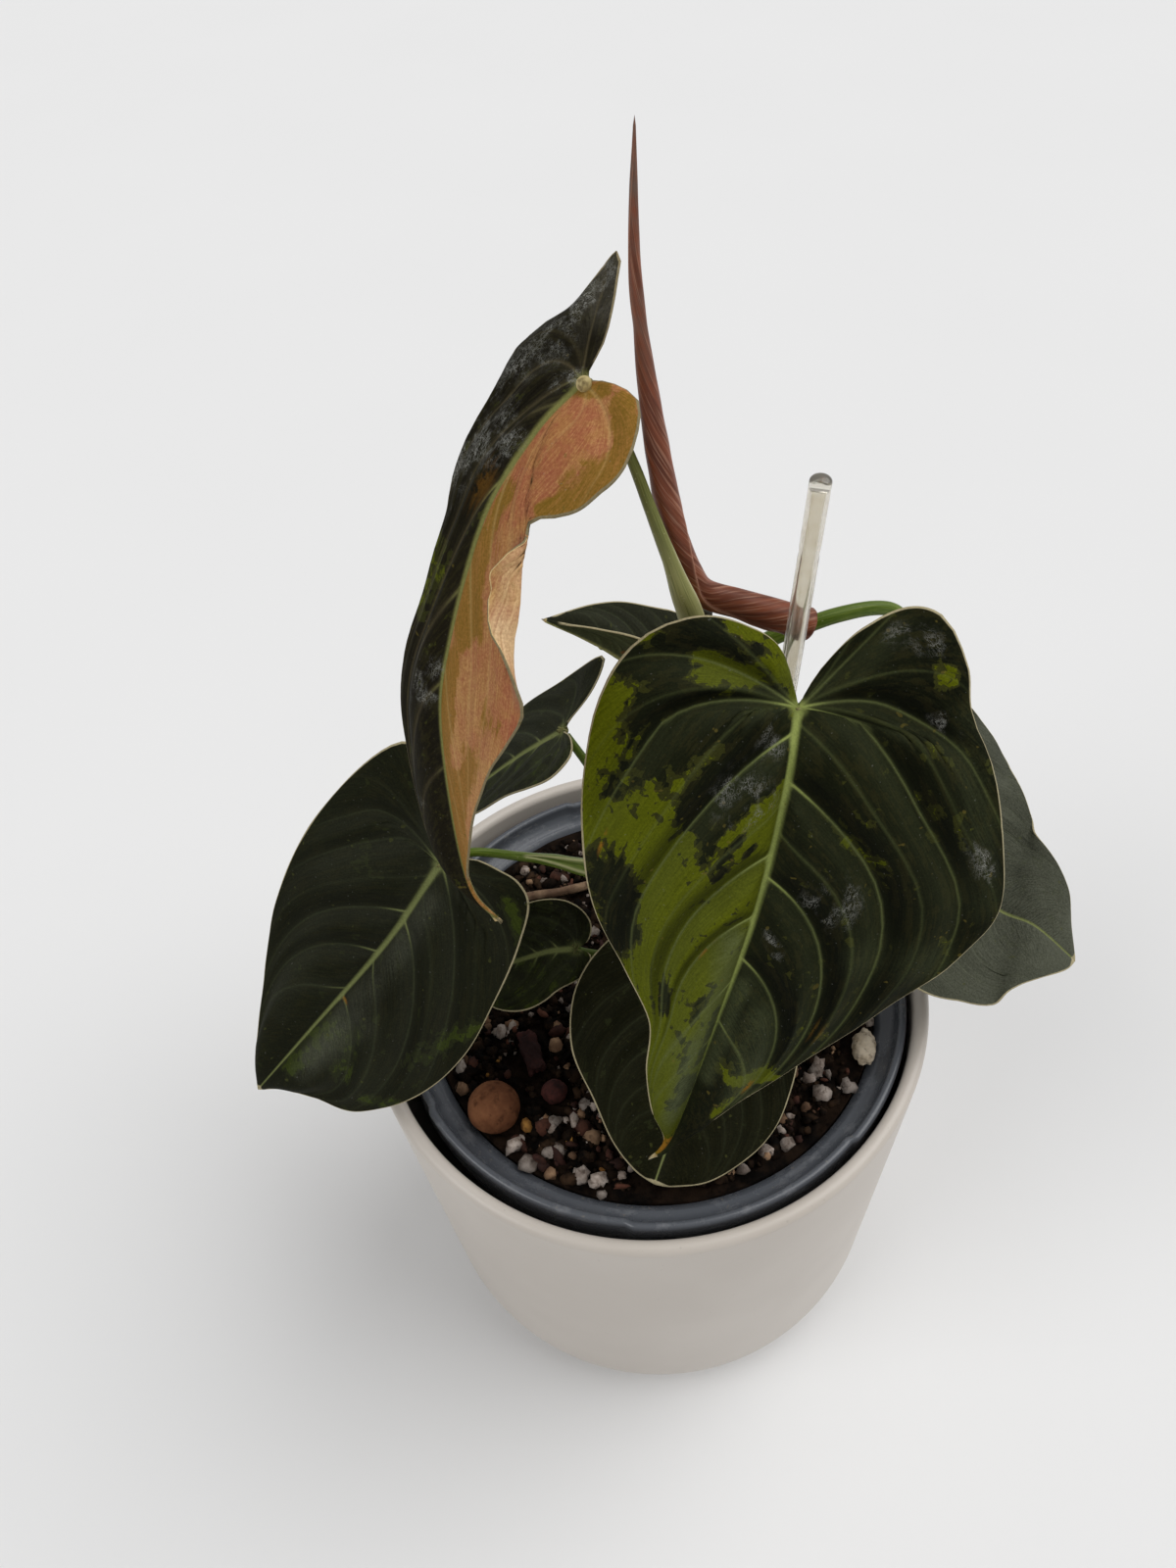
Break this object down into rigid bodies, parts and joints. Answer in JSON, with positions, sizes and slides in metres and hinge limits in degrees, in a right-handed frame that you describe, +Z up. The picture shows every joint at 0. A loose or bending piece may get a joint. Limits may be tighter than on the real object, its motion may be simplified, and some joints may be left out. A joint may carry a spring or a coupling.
{
  "type": "potted variegated black gold philodendron",
  "caption": "Climbing aroid with velvety heart-shaped leaves splashed lime and pink, a rolled new leaf and a clear stake, in a nursery pot set inside a round-based planter.",
  "frame": {"origin": "centre of the planter's flat base, on the surface that it stands on", "axes": "+Z up, -Y towards the front of the plant (the side that the variegated front leaf faces), +X to the right seen from the front"},
  "size_m": [0.1898, 0.135, 0.3127],
  "materials": {
    "planter_glaze": "warm light grey, smooth, soft sheen, no text",
    "nursery_plastic": "charcoal, moulded, slightly scuffed and glossy on the lip",
    "potting_mix": "moist dark mix of bark and peat with off-white perlite grains and crumbs",
    "stem": "waxy plant tissue, olive green, faint nodes",
    "clear_stake": "clear smooth rod",
    "root": "dry light brown root, rough",
    "clay": "expanded clay, matt and pitted",
    "dark_clay": "moist dark red clay, matt",
    "bark": "moist dark red bark",
    "pumice": "cream, porous",
    "petiole": "waxy plant tissue, bright to olive green, fine lengthwise lines",
    "leaf_green": "velvety dark green blade, pale green veins, cream rim",
    "leaf_front": "velvety blade, one half lime splashed with dark olive, the other near-black green",
    "leaf_tall": "velvety blade, one half dark green, the other pink and peach with an olive edge",
    "rolled_leaf": "waxy red-brown rolled leaf with fine pale streaks, lime inside"
  },
  "bodies": {
    "root": {"planter": "planter_glaze", "nursery_pot": "nursery_plastic", "potting_mix": "potting_mix", "main_stem": "stem", "stake": "clear_stake", "root_piece": "root", "clay_pebble": "clay", "small_clay_pebble": "dark_clay", "bark_chip": "bark", "cream_pebble": "pumice", "petiole_front": "petiole", "petiole_tall": "petiole", "petiole_left": "petiole", "petiole_rear_left": "petiole", "petiole_rear": "petiole", "petiole_right": "petiole", "petiole_lower_front": "petiole", "petiole_small_low": "petiole", "leaf_blade_front": "leaf_front", "leaf_blade_tall": "leaf_tall", "leaf_blade_left": "leaf_green", "leaf_blade_rear_left": "leaf_green", "leaf_blade_rear": "leaf_green", "leaf_blade_right": "leaf_green", "leaf_blade_lower_front": "leaf_green", "leaf_blade_small_low": "leaf_green", "new_leaf_roll": "rolled_leaf"}
  },
  "joints": []
}
